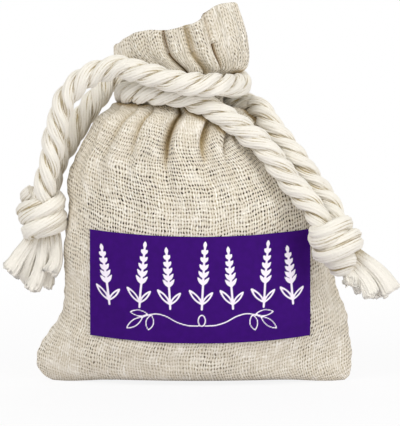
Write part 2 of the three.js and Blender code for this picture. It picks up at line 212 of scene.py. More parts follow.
class Finish(Nodes):
    """A procedural material in the making."""

    def __init__(self, name, **fixed):
        self.material = bpy.data.materials.new(name)
        self.material.use_nodes = True
        super().__init__(self.material.node_tree)
        self.shader = self.tree.nodes["Principled BSDF"]
        for socket, value in fixed.items():
            self.shader.inputs[socket.replace("_", " ")].default_value = value

    def feed(self, socket, field):
        self.tree.links.new(field.socket, self.shader.inputs[socket])

    def relief(self, height, distance, strength):
        values = {"Strength": strength, "Distance": distance, "Height": height}
        self.feed("Normal", self.field("ShaderNodeBump", values))


# The weave wanders twice: the scale of the noise, and the warp and weft threads by which it wanders.
WEAVE_DRIFTS = ((0.2, 2.4, 1.8), (0.9, 0.8, 0.8))


def linen(sizes, colours):
    """Plain weave of uneven warp and weft threads, with small holes at the corners between them, and
    painted shade in its gaps, holes, folds and beneath the ropes.
    """
    finish = Finish("linen", Roughness=0.92, Specular_IOR_Level=0.15, Sheen_Weight=0.1)
    across, up = finish.uv("weave")
    place = finish.point(across, up)
    u, v = across / sizes.warp_pitch, up / sizes.weft_pitch
    for scale, warps, wefts in WEAVE_DRIFTS:
        drift_u, drift_v = finish.pair(finish.noise(place, scale, output="Color"))
        u = u + (drift_u - 0.5) * warps
        v = v + (drift_v - 0.5) * wefts
    warp_run = finish.noise(finish.point(u.floor() * 7.31, v * 0.13, 3.0))
    weft_run = finish.noise(finish.point(u * 0.13, v.floor() * 5.77, 8.0))

    def thread(coordinate, run):
        """The round of a thread's section, wider where the yarn is thick."""
        away = (coordinate.fraction() - 0.5) / (run * 0.4 + 0.28)
        return (1 - away * away).at_least(0.0)

    over = (u * math.pi).sine() * (v * math.pi).sine()
    warp = thread(u, warp_run) * (over * 0.3 + 0.75)
    weft = thread(v, weft_run) * (0.55 - over * 0.3)
    height = warp.at_least(weft)
    on_top = warp > weft
    run = on_top * warp_run + (1 - on_top) * weft_run
    patches = finish.noise(place, 0.3, 3.0)
    slubs = (run * 1.1 + patches * 0.4).step(0.4, 0.95)
    threads = finish.mix(slubs, colours.linen_light, colours.linen_dark)

    # Between the threads the cloth is darker: painted shade in the grooves, most of all where the filling
    # stretches it open.
    openness = finish.attribute("openness")
    close = patches.step(0.3, 0.48)
    fuzz = finish.noise(place, 11.0, 3.0)
    low = 1 - (height + fuzz * 0.3 - 0.1).step(0.1, 0.9)
    between = low * (openness * 0.4 + 0.6) * (close * 0.65 + 0.35)
    cloth = finish.mix(between, threads, colours.linen_gap_shade)

    # A corner is open where its threads are loose, or by chance: a real hole, painted with the shade of the
    # dark inside.
    corner_u, corner_v = ((way.fraction() - 0.5).size() * 2 for way in (u, v))
    column, row = (u + 0.5).floor(), (v + 0.5).floor()
    chance = finish.field("ShaderNodeTexWhiteNoise", [finish.point(column, row, 5.0)])
    loose_warp = finish.noise(finish.point(column * 5.31, v * 0.09, 12.0)).step(0.3, 0.7)
    loose_weft = finish.noise(finish.point(u * 0.09, row * 4.71, 15.0)).step(0.3, 0.7)
    square = corner_u * corner_v
    core = (square * square * corner_v + (chance - 0.5) * 0.1).step(0.03, 0.27)
    loose = chance * 0.55 + loose_warp * 0.55 + loose_weft * 0.25 + 0.05
    strength = openness * loose + (patches - 0.5) * 0.5
    hole = core * strength.step(0.0, 1.05) * (close * 0.5 + 0.5)
    woven = finish.mix(hole, cloth, colours.linen_hole_shade)
    # Painted shade: a warm darkening in deep folds, beneath the rope loops and along the side seams.
    valley_shaded = finish.shade_tint(finish.attribute("valley"), woven, colours.linen_valley_shade)
    # Painted shade: dark lines at the bottom of the sharp folds and beneath the ropes.
    finish.feed("Base Color", finish.shade_tint(finish.attribute("crease_shade"), valley_shaded, colours.linen_crease_shade))
    finish.relief(height + fuzz * 0.2, 0.3 * MM, 0.55)
    return finish.material


def cotton(colours):
    """Soft spun cotton: fine fibres that run along the yarns, with painted shade, darker and yellower, in
    the grooves between yarns and strands.
    """
    finish = Finish("cotton", Roughness=0.88, Specular_IOR_Level=0.2, Sheen_Weight=0.2)
    around, length = finish.uv("yarn")
    fibres = finish.noise(finish.point(around * 7.0, length * 1.8), detail=4.0)
    soft = finish.noise(finish.point(around * 0.8, length * 0.5))
    lint = finish.noise(finish.point(around * 3.0, length * 3.0, 6.0), detail=3.0)
    uneven = (0.5 - fibres) * 0.5 + (0.5 - soft) * 0.3 + (0.5 - lint) * 0.4
    # Painted shade in the grooves, mixed with random unevenness.
    shade_and_mottle = (finish.attribute("crease_shade") * 1.05 + uneven).step(0.25, 1.05)
    finish.feed("Base Color", finish.mix(shade_and_mottle, colours.cotton, colours.cotton_crease_shade))
    finish.relief(fibres * 0.6 + lint * 0.6, 0.3 * MM, 0.7)
    return finish.material


def label_cloth(colours):
    """Printed ground with the ornament's white lines, from their distance kept on the mesh."""
    finish = Finish("label_cloth", Roughness=0.8, Specular_IOR_Level=0.12)
    across, up = finish.uv("sheet")
    ribs = ((across * 21.0).sine() + (up * 21.0).sine()) * 0.25 + 0.5
    printed = (0.0 - finish.attribute("print_distance")).step(-0.07, 0.07)
    mottled = finish.noise(finish.point(across, up), 0.6, 3.0)
    darker = tuple(0.72 * c for c in colours.label_ground)
    ground = finish.mix(mottled.step(0.2, 0.8) * 0.55 + ribs * 0.25, darker, colours.label_ground)
    finish.feed("Base Color", finish.mix(printed, ground, colours.label_print))
    finish.relief(ribs * 0.5 + printed * 0.8 + mottled * 0.4, 0.05 * MM, 0.5)
    return finish.material


# The pouch's stations from the base up, as in the frame. Each row holds a height, half the width, half the
# depth, the offset of the middle, the roundness of the section, the share of the folds and the tilt.
POUCH_WIDTH = FRONT_HIGH[0] - FRONT_LOW[0]
POUCH_DEPTH = BACK_HIGH[1] - FRONT_LOW[1]
NECK_HEIGHT = 69.5
NECK_LENGTH = 8.0
NECK_HALF_WIDTH = 10.3
NECK_HALF_DEPTH = 6.2
NECK_OFFSET = -3.25
RUFFLE_HALF_WIDTH = 15.8
RUFFLE_HALF_DEPTH = 7.3
RUFFLE_HEIGHT = 11.6
BODY_SHARES = [
    [0, 0.93, 0.534, 0.022, 1.2, 0, 0],
    [0.017, 0.97, 0.685, 0.012, 1.1, 0, 0],
    [0.05, 0.995, 0.787, 0, 1.1, 0, 0],
    [0.1, 1, 0.876, 0, 1.15, 0, 0],
    [0.158, 0.972, 0.944, 0.022, 1.3, 0, 0],
    [0.23, 0.914, 0.989, 0.054, 1.6, 0, 0],
    [0.345, 0.86, 1, 0.032, 1.9, 0, 0],
    [0.489, 0.833, 0.978, 0.005, 2, 0, 0],
    [0.633, 0.803, 0.933, 0, 2, 0.1, 0],
    [0.763, 0.741, 0.854, -0.054, 2, 0.45, 0],
    [0.863, 0.598, 0.742, -0.111, 2, 0.95, 0],
    [0.935, 0.505, 0.596, -0.106, 2, 1.1, -0.04],
    [0.968, 0.461, 0.49, -0.082, 2, 1, -0.06],
    [0.993, 0.41, 0.43, -0.102, 2, 0.9, -0.05],
]
RUFFLE_SHARES = [
    [0.07, 0.87, 0.97, -0.07, 1.6, 1, 0.03],
    [0.5, 1.02, 1, -0.205, 1.35, 1, 0.18],
    [1, 0.965, 0.96, -0.304, 1.2, 1, 0.35],
]


def scaled(rows, low, height, half_width, half_depth):
    """Stations in millimetres from rows of shares."""
    return [
        [low + h * height, w * half_width, d * half_depth, o * half_width, *rest]
        for h, w, d, o, *rest in rows
    ]


def pouch_stations():
    """All stations from the base to the mouth."""
    body = scaled(BODY_SHARES, 0, NECK_HEIGHT, POUCH_WIDTH / 2, POUCH_DEPTH / 2)
    neck = [
        [NECK_HEIGHT + share * NECK_LENGTH, NECK_HALF_WIDTH, NECK_HALF_DEPTH, NECK_OFFSET, 2, 1, -0.04]
        for share in (0.06, 0.45, 0.85)
    ]
    top = NECK_HEIGHT + NECK_LENGTH
    ruffle = scaled(RUFFLE_SHARES, top, RUFFLE_HEIGHT, RUFFLE_HALF_WIDTH, RUFFLE_HALF_DEPTH)
    return np.array(body + neck + ruffle)


STATIONS = pouch_stations()
MOUTH = len(STATIONS) - 1
NECK_START = len(BODY_SHARES)
NECK_END = NECK_START + 2
FOLD_START = 8
FOLD_LOW = 55.0  # below this height the folds run straight down

# Folds, as shares of a turn from the right side over the front to the left and back behind. Each row holds
# where a fold lies at the mouth, at the neck and on the body, its depth in the ruffle and on the body in
# millimetres, and its width.
FOLDS = [
    [0.06, 0.045, 0.085, 0.5, 1.8, 0.017],
    [0.108, 0.088, 0.125, 0.4, 2.4, 0.018],
    [0.166, 0.134, 0.183, 2.6, 2.6, 0.0075],
    [0.222, 0.179, 0.216, 2.8, 3.4, 0.0115],
    [0.284, 0.25, 0.279, 2.4, 3.8, 0.009],
    [0.34, 0.32, 0.338, 0.4, 2.6, 0.013],
    [0.395, 0.365, 0.39, 0.6, 2.2, 0.018],
    [0.45, 0.43, 0.44, 0.5, 1.6, 0.02],
    [0.545, 0.56, 0.555, 0.8, 2.0, 0.02],
    [0.6, 0.61, 0.615, 2.6, 3.2, 0.016],
    [0.655, 0.66, 0.67, 0.8, 2.6, 0.018],
    [0.71, 0.705, 0.715, 3.0, 3.8, 0.015],
    [0.765, 0.755, 0.76, 0.8, 2.8, 0.018],
    [0.82, 0.81, 0.81, 2.8, 3.8, 0.016],
    [0.875, 0.865, 0.86, 0.8, 2.6, 0.018],
    [0.925, 0.915, 0.91, 2.2, 3.0, 0.016],
    [0.97, 0.965, 0.96, 0.5, 1.8, 0.02],
]
# A fold is a sharp one when it is deeper than this, in millimetres, and narrower than this, in turns.
SHARP_DEPTH = 2
SHARP_WIDTH = 0.01
# The dark line is painted shade.
LINE_WIDTH = 0.0032  # of the dark line along its bottom
FINE_FOLDS = 44
# The mouth's wavy edge: shares of a turn, and millimetres above or below the tilted plane.
RIM = [
    [0, -0.4], [0.058, 0.1], [0.12, 0.8], [0.15, 0.7], [0.175, -1.0], [0.2, -1.7], [0.224, -1.4],
    [0.25, -1.3], [0.278, -0.9], [0.32, 0.7], [0.37, 1.3], [0.42, 0.6], [0.46, 0], [0.5, 0], [0.56, -0.8],
    [0.62, -1.8], [0.7, -2.3], [0.78, -2.8], [0.84, -2.2], [0.9, -1.6], [0.95, -1.0], [1, -0.4],
]
RIM_SOFTNESS = 11  # of 200 steps round the mouth

RUFFLE_TURN = 2.6  # the ruffle's right edge is turned to the front by this much
RUFFLE_RISE = 0.35  # millimetres by which the cloth between the folds stands out in the ruffle
SHOULDER_RISE = 2.3  # and where the body puffs up between them, just under the neck
PUFF_PLACE = 11.2  # the station round which it does
LUMP_WAVES = 40
EDGE_LIFT = 0.9  # the front's lower edge stands this far off the floor between the two lower corners


def along(column, place):
    """One column of the stations at a place between two of them, on a smooth curve through all."""
    i = np.clip(np.floor(place).astype(int), 0, MOUTH - 1)
    t = place - i
    a, b, c, d = (STATIONS[np.clip(i + n, 0, MOUTH), column] for n in (-1, 0, 1, 2))
    return b + 0.5 * t * (c - a + t * (2 * a - 5 * b + 4 * c - d + t * (3 * (b - c) + d - a)))


def smooth(low, high, value):
    """0 below low, 1 above high, smooth between them."""
    t = np.clip((value - low) / (high - low), 0, 1)
    return t * t * (3 - 2 * t)


def bump(value, width):
    """1 at 0, falling away on both sides over about a width."""
    return np.exp(-((value / width) ** 2))


def from_whole(value):
    """How far a number is from the nearest whole one."""
    return np.abs((value + 0.5) % 1 - 0.5)


def running(steps, axis=0):
    """Running totals of steps, from 0."""
    return np.concatenate([np.zeros_like(np.take(steps, [0], axis)), np.cumsum(steps, axis)], axis)


def distances(points, axis=0):
    """How far along a line, or along one way of a grid, each of its points lies."""
    return running(np.linalg.norm(np.diff(points, axis=axis), axis=-1), axis)


def lumps(points, size, seed):
    """A soft random field of bumps of about a size, with a spread of 1, the same for the same seed."""
    rng = np.random.default_rng(seed)
    ways = rng.normal(size=(LUMP_WAVES, 3))
    lengths = np.linalg.norm(ways, axis=1, keepdims=True)
    ways *= TURN / size * rng.uniform(0.6, 1.4, (LUMP_WAVES, 1)) / lengths
    return np.sin(points @ ways.T + rng.uniform(0, TURN, LUMP_WAVES)).sum(-1) / math.sqrt(LUMP_WAVES / 2)


def fine_folds():
    """Small gathers between the named folds, scattered by a fixed seed."""
    rng = np.random.default_rng(5)
    places = (np.arange(FINE_FOLDS) + rng.uniform(0.15, 0.85, FINE_FOLDS)) / FINE_FOLDS
    shift = rng.normal(0, 0.006, FINE_FOLDS)
    depth = rng.uniform(0.15, 0.75, FINE_FOLDS)
    return [
        [p + s, p, p - s, d * 0.1, d, rng.uniform(0.006, 0.011)] for p, s, d in zip(places, shift, depth)
    ]


ALL_FOLDS = FOLDS + fine_folds()


def folds_at(turn, place, folds):
    """For each fold: how far every point lies from its middle, its depth there and its width."""
    to_neck = np.clip((along(0, place) - FOLD_LOW) / (NECK_HEIGHT - FOLD_LOW), 0, 1)
    to_mouth = smooth(NECK_END, MOUTH - 1, place)
    for at_mouth, at_neck, on_body, ruffle, body, width in folds:
        centre = on_body + (at_neck - on_body) * to_neck
        centre = centre + (at_mouth - centre) * to_mouth
        yield from_whole(turn - centre), body + (ruffle - body) * to_mouth, width


def fold_shade_line(turn, place):
    """1 along the bottom of each sharp fold of the ruffle and the body, where a dark line of painted shade
    lies, 0 beside it.
    """
    sharp = [fold for fold in FOLDS if min(fold[3:5]) > SHARP_DEPTH and fold[5] < SHARP_WIDTH]
    return np.max([bump(away, LINE_WIDTH) for away, _, _ in folds_at(turn, place, sharp)], axis=0)


def fold_depth(turn, place):
    """How far the folds draw the cloth in, in millimetres."""
    power = 1.35 - 0.25 * smooth(NECK_END, MOUTH - 1, place)
    depth = np.zeros_like(turn)
    for away, mine, width in folds_at(turn, place, ALL_FOLDS):
        away = away / width
        valley = mine * (np.exp(-(away**power)) - 0.14 * bump(away - 2.4, 1.1))
        depth = np.maximum(depth, valley) + np.minimum(valley, 0)
    return depth * np.maximum(along(5, place), 0)


def rim_lift(turn):
    """How far the mouth's edge stands above its tilted plane, in millimetres."""
    shares, lifts = np.array(RIM).T
    steps = np.linspace(0, 1, 201)
    lifts = np.interp(steps, shares, lifts)
    kernel = np.hanning(RIM_SOFTNESS) / np.hanning(RIM_SOFTNESS).sum()
    edge = RIM_SOFTNESS - 1
    lifts = np.concatenate([lifts[-RIM_SOFTNESS:-1], lifts, lifts[1:RIM_SOFTNESS]])
    return np.interp(turn % 1, steps, np.convolve(lifts, kernel, "same")[edge:-edge])


def cloth_points(turn, place, inset):
    """Points of the cloth, drawn in by folds and by an inset."""
    angle = turn * TURN
    side, front = np.cos(angle), np.sin(angle)
    x = along(1, place) * side
    y = -along(2, place) * np.sign(front) * np.abs(front) ** (2 / along(4, place))
    puff = SHOULDER_RISE * bump(place - PUFF_PLACE, 1.5) * np.abs(front) ** 0.5
    rise = np.where(place > NECK_START, RUFFLE_RISE, puff) * np.maximum(along(5, place), 0)
    depth = fold_depth(turn, place) * (1 + puff * 0.12)
    top = smooth(NECK_END, MOUTH, place)
    drawn = (depth - rise + inset) / np.maximum(np.hypot(x, y), 1)
    drawn_x = drawn * (1 - 0.75 * top * np.abs(front))
    lifted = EDGE_LIFT * (1 - smooth(0.55, 0.95, np.abs(side))) * (1 - smooth(0, 2.2, place)) * (front > 0)
    z = along(0, place) + along(6, place) * x + rim_lift(turn) * top + lifted
    forward = RUFFLE_TURN * smooth(-0.2, 1, side) * smooth(NECK_END, MOUTH - 1, place)
    points = np.stack([along(3, place) + x * (1 - drawn_x), y * (1 - drawn) - forward, z], -1)

    # Soft unevenness of the filled body, and puckers along its side seams.
    body = smooth(0, 3, place) * (1 - smooth(NECK_START - 2, NECK_START, place))
    swell = (0.16 * lumps(points, 9, 11) + 0.07 * lumps(points, 4.5, 12)) * body
    outward = np.stack([x, y * 2.2, np.zeros_like(x)], -1)
    outward /= np.maximum(np.linalg.norm(outward, axis=-1, keepdims=True), 1e-6)
    gathers = 0.12 * np.sin(z * TURN / 3.1) + 0.1 * lumps(points, 6, 13)
    pucker = bump(from_whole(turn * 2), 0.03) * gathers * body
    return points + outward * (swell + pucker)[..., None]


def grid_faces(rows, columns):
    """Quads of a grid of points whose columns run fastest."""
    i = np.arange((rows - 1) * columns).reshape(rows - 1, columns)[:, :-1]
    return np.stack([i, i + 1, i + columns + 1, i + columns], -1).reshape(-1, 4)


def new_piece(name, points, faces, material, uv=None, attributes=None):
    """A mesh object from points in millimetres, with the values of UV maps and attributes by name."""
    mesh = bpy.data.meshes.new(name)
    corners = np.asarray(points).reshape(-1, 3) * MM
    mesh.from_pydata(corners.tolist(), [], [list(map(int, face)) for face in faces])
    for map_name, values in (uv or {}).items():
        layer = mesh.uv_layers.new(name=map_name)
        corners = np.zeros(len(mesh.loops), int)
        mesh.loops.foreach_get("vertex_index", corners)
        layer.data.foreach_set("uv", np.asarray(values, np.float32).reshape(-1, 2)[corners].ravel())
    for attribute_name, values in (attributes or {}).items():
        layer = mesh.attributes.new(attribute_name, "FLOAT", "POINT")
        layer.data.foreach_set("value", np.asarray(values, np.float32).ravel())
    mesh.materials.append(material)
    mesh.shade_smooth()
    for polygon in mesh.polygons:
        if len(polygon.vertices) > 4:
            polygon.use_smooth = False
    piece = bpy.data.objects.new(name, mesh)
    bpy.context.scene.collection.objects.link(piece)
    return piece


def thicken(piece, thickness, offset):
    """Gives a sheet its thickness, inwards from it for -1, outwards for 1."""
    bpy.context.view_layer.objects.active = piece
    modifier = piece.modifiers.new("thickness", "SOLIDIFY")
    modifier.thickness = thickness * MM
    modifier.offset = offset
    bpy.ops.object.modifier_apply(modifier=modifier.name)


def face_out(piece):
    """Turns a piece's faces outwards."""
    bpy.ops.object.select_all(action="DESELECT")
    piece.select_set(True)
    bpy.context.view_layer.objects.active = piece
    bpy.ops.object.mode_set(mode="EDIT")
    bpy.ops.mesh.select_all(action="SELECT")
    bpy.ops.mesh.normals_make_consistent(inside=False)
    bpy.ops.object.mode_set(mode="OBJECT")


COLUMNS = 240
ROW_STEP = 0.62  # millimetres of cloth between two rows
FLOOR_ROWS = 6
HEM_ROLL_ROWS = 5
HEM_GAP = 1.2  # half the way from the outside to the hem, in thicknesses of the cloth
PROFILE_STEPS = 1200
SIDE_WEIGHT = 0.6  # how far a millimetre of widening counts towards the distance between two rows
BELLY_HEIGHT = 48  # where the filling stretches the weave most
BELLY_SPREAD = 17
HALF_BODY = 37
# Painted shadow beneath the rope loops, fading out between these distances from a rope's axis.
ROPE_SHADE = (3.2, 4.3)  # distances from a rope's axis between which the cloth under it gets lighter
ROPE_POINTS = 8  # every eighth point of a rope's line is near enough for that
BATCHES = 60  # the cloth's points are measured in so many parts, to save memory


def panel_rows(hem_width):
    """Places of a panel's rows: up the outside to the mouth's edge, and down the hem."""
    fine = np.linspace(0, MOUTH, PROFILE_STEPS)
    rise, widen = (np.abs(np.diff(along(column, fine))) for column in (0, 1))
    travelled = running(rise + SIDE_WEIGHT * widen)
    outer = np.interp(np.linspace(0, travelled[-1], int(travelled[-1] / ROW_STEP)), travelled, fine)
    hem = np.linspace(0, hem_width, int(hem_width / ROW_STEP))
    return outer, np.interp(hem, [0, RUFFLE_HEIGHT * 0.5], [MOUTH, MOUTH - 1])


def add_panel(name, first_turn, sizes, material):
    """One panel of the pouch with its floor and hem, as a sheet that gets its thickness at the end."""
    turns = first_turn + 0.5 * np.linspace(0, 1, COLUMNS + 1)
    gap = HEM_GAP * sizes.cloth_thickness

    def row(place, inset):
        return cloth_points(turns, np.full_like(turns, place), inset)

    outer, down = panel_rows(sizes.hem_width)
    rows = [row(place, 0.0) for place in outer]
    hem = [row(place, 2 * gap) for place in down]
    floor = [rows[0] * (1, share, 1) for share in np.linspace(0, 1, FLOOR_ROWS + 1)[:-1]]
    roll = []
    for over in math.pi * np.arange(1, HEM_ROLL_ROWS) / HEM_ROLL_ROWS:
        middle = rows[-1] + (hem[0] - rows[-1]) * (1 - math.cos(over)) / 2
        roll.append(middle + (0, 0, gap * math.sin(over)))
    points = np.array(floor + rows + roll + hem)
    places = np.concatenate([np.zeros(len(floor)), outer, np.full(len(roll + hem), MOUTH)])

    # The weave's coordinates: the cloth that the folds hide lies in their valleys.
    across = distances(points, 1)
    hidden = 0.5 * TURN * POUCH_WIDTH / 4 - across[:, -1:]
    across = across + 0.25 * np.maximum(hidden, 0) * running(hidden_cloth(turns, places), 1)
    across -= across[:, COLUMNS // 2][:, None]
    uv = np.stack([across, distances(points) + HALF_BODY * first_turn], -1)
    tones = cloth_tones(points, turns, places)
    piece = new_piece(name, points, grid_faces(*points.shape[:2]), material, {"weave": uv}, tones)
    face_out(piece)
    return piece


def cloth_tones(points, turns, places):
    """How far the weave is stretched open at each point, and the painted shade where it lies deep in a
    fold, beneath a rope or by a side seam.
    """
    turn, place = np.meshgrid(turns, places)
    in_ruffle = place > NECK_END
    x, _, z = np.moveaxis(points, -1, 0)
    sides = np.clip(np.abs(x - 1) / HALF_BODY, 0, 1) ** 3
    belly = bump(z - BELLY_HEIGHT, BELLY_SPREAD) * (1 - 0.75 * sides)
    puffed = bump(place - PUFF_PLACE - 0.4, 1.6)
    openness = 0.45 + 0.6 * belly - 0.35 * puffed + 0.16 * lumps(points, 14, 31) + 0.08 * in_ruffle
    place = np.maximum(place, FOLD_START)
    # Painted shade in the folds, stronger where they draw the cloth in further.
    deep = smooth(0.4, 1.0, fold_depth(turn, place) / np.where(in_ruffle, 2.2, 3.2))
    folded = deep * np.where(in_ruffle, 0.6, 0.85)
    at_neck = (cord.route[cord.leaves[0] : cord.leaves[1] + 1] for cord in CORDS)
    rope = np.vstack([route_line(route)[::ROPE_POINTS] for route in at_neck])
    near = np.concatenate([
        np.linalg.norm(part[:, None] - rope[None], axis=2).min(axis=1)
        for part in np.array_split(points.reshape(-1, 3), BATCHES)
    ])
    # Painted shadow beneath the rope loops round the neck.
    rope_shadow = 1 - smooth(*ROPE_SHADE, near.reshape(z.shape))
    # Painted shade along the side seams.
    edge = 0.4 * bump(from_whole(turn * 2), 0.05) * smooth(12, 36, z) * (1 - smooth(60, 68, z))
    # Painted shade along the bottom of the sharp folds.
    line = fold_shade_line(turn, place) * smooth(0.3, 0.7, deep) * np.where(in_ruffle, 1, 0.35)
    return {
        "openness": np.clip(openness * (1 - 0.5 * folded), 0, 1.1),
        # valley: painted shade of the folds, of the cloth beneath the rope loops and of the side seams.
        "valley": np.clip(folded + rope_shadow * 0.8 + edge, 0, 1),
        "crease_shade": np.clip(line + rope_shadow * 0.35, 0, 1),
    }


def hidden_cloth(turns, places):
    """How the cloth that a row's folds hide is shared out over its columns, nearly all to the valleys."""
    turn, place = np.meshgrid((turns[1:] + turns[:-1]) / 2, places)
    weight = np.maximum(fold_depth(turn, np.maximum(place, FOLD_START + 1)), 0) ** 3 + 0.1
    return weight / weight.sum(axis=1, keepdims=True)


# Routes of the two cords from knot to knot, the same as in the frame, in millimetres.
LEFT_ROUTE = [
    [-38.4, -2, 42.4], [-37.4, -5.6, 49.5], [-35.6, -6.4, 57.5], [-34.1, -7.2, 65], [-32.1, -8, 71.2],
    [-28.2, -8.8, 75.7], [-23.4, -9.7, 78.2], [-18.9, -11, 79.1], [-12.8, -13.6, 77.8], [-6.3, -15.2, 76],
    [-0.5, -15.3, 75.1], [5, -13, 75], [9.4, -7.6, 74.4], [11.3, -1, 74.6], [9.3, 5, 75.8],
    [3, 9, 76.2], [-4, 9.9, 76.9], [-11, 9, 77.5], [-16.8, 6.9, 77.4], [-22, 5.9, 74.9],
    [-25.3, 4, 70], [-28.6, 3.2, 65.3], [-32, 2.8, 59.8], [-35.2, 2.3, 53.6], [-36.4, 1.7, 49.4],
    [-38.4, -2, 42.4],
]
RIGHT_ROUTE = [
    [33.4, -19.4, 35], [29.8, -16.6, 43.5], [26.8, -14.8, 47.3], [23.75, -13.9, 50.9], [20.5, -13.6, 55.3],
    [17, -13.3, 59.6], [13, -12.9, 62.9], [8.5, -12.2, 66.1], [5, -11.3, 68.4], [1.5, -10.3, 70.2],
    [-1.8, -9.9, 71.5], [-6.3, -9.8, 72.2], [-11.3, -8.2, 72.8], [-15.6, -4.8, 72.7], [-17.2, 0, 72.2],
    [-15, 5.3, 71.6], [-10, 8.7, 71], [-3.3, 9.8, 70.3], [3.4, 8.9, 69.7], [8.4, 6.4, 69.4],
    [12.8, 2.8, 69.3], [16.4, -0.8, 68], [19.7, -5.2, 63.2], [24.8, -8.2, 57], [29.3, -9, 50.6],
    [33.8, -10.6, 44.3], [35.6, -15, 36],
]
LEAD = 3  # a strand starts this far before the point where the cord leaves the neck
ROUTE_STEPS = 24
RING_GAP = 0.5  # millimetres between two rings of points of a rope


def route_line(route):
    """A centripetal curve through a route's points."""
    points = np.array(route, float)
    points = np.vstack([2 * points[0] - points[1], points, 2 * points[-1] - points[-2]])
    t = np.linspace(0, 1, ROUTE_STEPS, endpoint=False)[:, None]
    line = []
    for a, b, c, d in zip(points, points[1:], points[2:], points[3:]):
        before, here, after = (max(np.linalg.norm(q - p), 1e-4) ** 0.5 for p, q in ((a, b), (b, c), (c, d)))
        leave = ((b - a) / before - (c - a) / (before + here) + (c - b) / here) * here
        arrive = ((c - b) / here - (d - b) / (here + after) + (d - c) / after) * here
        square = 3 * (c - b) - 2 * leave - arrive
        line.append(b + leave * t + square * t**2 + (2 * (b - c) + leave + arrive) * t**3)
    return np.vstack([*line, points[-2:-1]])


class Sweep:
    """A line with a frame that doesn't turn about it, for sweeping rope along."""

    def __init__(self, line, gap=RING_GAP):
        lengths = distances(line)
        self.total = lengths[-1]
        self.at = np.linspace(0, self.total, max(int(self.total / gap), 8))
        self.points = np.stack([np.interp(self.at, lengths, line[:, k]) for k in range(3)], 1)
        tangents = np.gradient(self.points, axis=0)
        self.tangents = tangents / np.linalg.norm(tangents, axis=1, keepdims=True)
        normal = np.cross(self.tangents[0], (0.3, 0.9, 0.2))
        normals = [normal / np.linalg.norm(normal)]
        for tangent in self.tangents[1:]:
            normal = normals[-1] - tangent * (normals[-1] @ tangent)
            normals.append(normal / np.linalg.norm(normal))
        self.normals = np.array(normals)
        self.binormals = np.cross(self.tangents, self.normals)

    def between(self, start, end):
        """The frame's rows from one length to another, both ends included."""
        first, last = (int(round(place / self.at[1])) for place in (start, end))
        return np.arange(first, min(last, len(self.at) - 1) + 1)


def rings(centre, first, reach, second, spread):
    """Rings of points about a line: reach lies along its first direction, spread along its second."""
    return centre[:, None] + first[:, None] * reach[..., None] + second[:, None] * spread[..., None]


def tube(ring, across, length, crease_shades):
    """Points, faces, UV and painted shade of a closed tube of rings, with a face of many corners at each
    end.
    """
    count, sides = ring.shape[:2]
    grid = np.arange(count * sides).reshape(count, sides)
    here, beyond = grid[:-1], grid[1:]
    quads = np.stack([here, np.roll(here, -1, 1), np.roll(beyond, -1, 1), beyond], -1)
    faces = quads.reshape(-1, 4).tolist() + [grid[0][::-1].tolist(), grid[-1].tolist()]
    uv = np.stack(np.broadcast_arrays(across[None], length[:, None]), -1)
    return ring.reshape(-1, 3), faces, uv.reshape(-1, 2), np.broadcast_to(crease_shades, (count, sides)).ravel()


def joined(parts):
    """Several sets of points, faces, UV and painted shade as one."""
    faces, offset = [], 0
    for points, own_faces, _, _ in parts:
        faces += [[corner + offset for corner in face] for face in own_faces]
        offset += len(points)
    points, uv, crease_shades = (np.concatenate([part[i] for part in parts]) for i in (0, 2, 3))
    return points, faces, uv, crease_shades


def add_rope(name, parts, material):
    """A piece of rope, a knot or a tassel from its points, faces, UV and painted shade."""
    points, faces, uv, crease_shades = parts
    return new_piece(name, points, faces, material, {"yarn": uv}, {"crease_shade": crease_shades})


STRANDS = 3
YARNS = 11
SIDES = YARNS * 4
STRAND_CENTRE = 0.24  # from the rope's axis to a strand's, in diameters of the rope
STRAND_RADIUS = 0.262
STRAND_SPREAD = 1.15  # the strands press each other wider than high
TUCKED = 0.95  # thickness of the rows that are tucked into the piece beyond
TUCKED_ROWS = 3
ROPE_YARN_LAY = -26.0


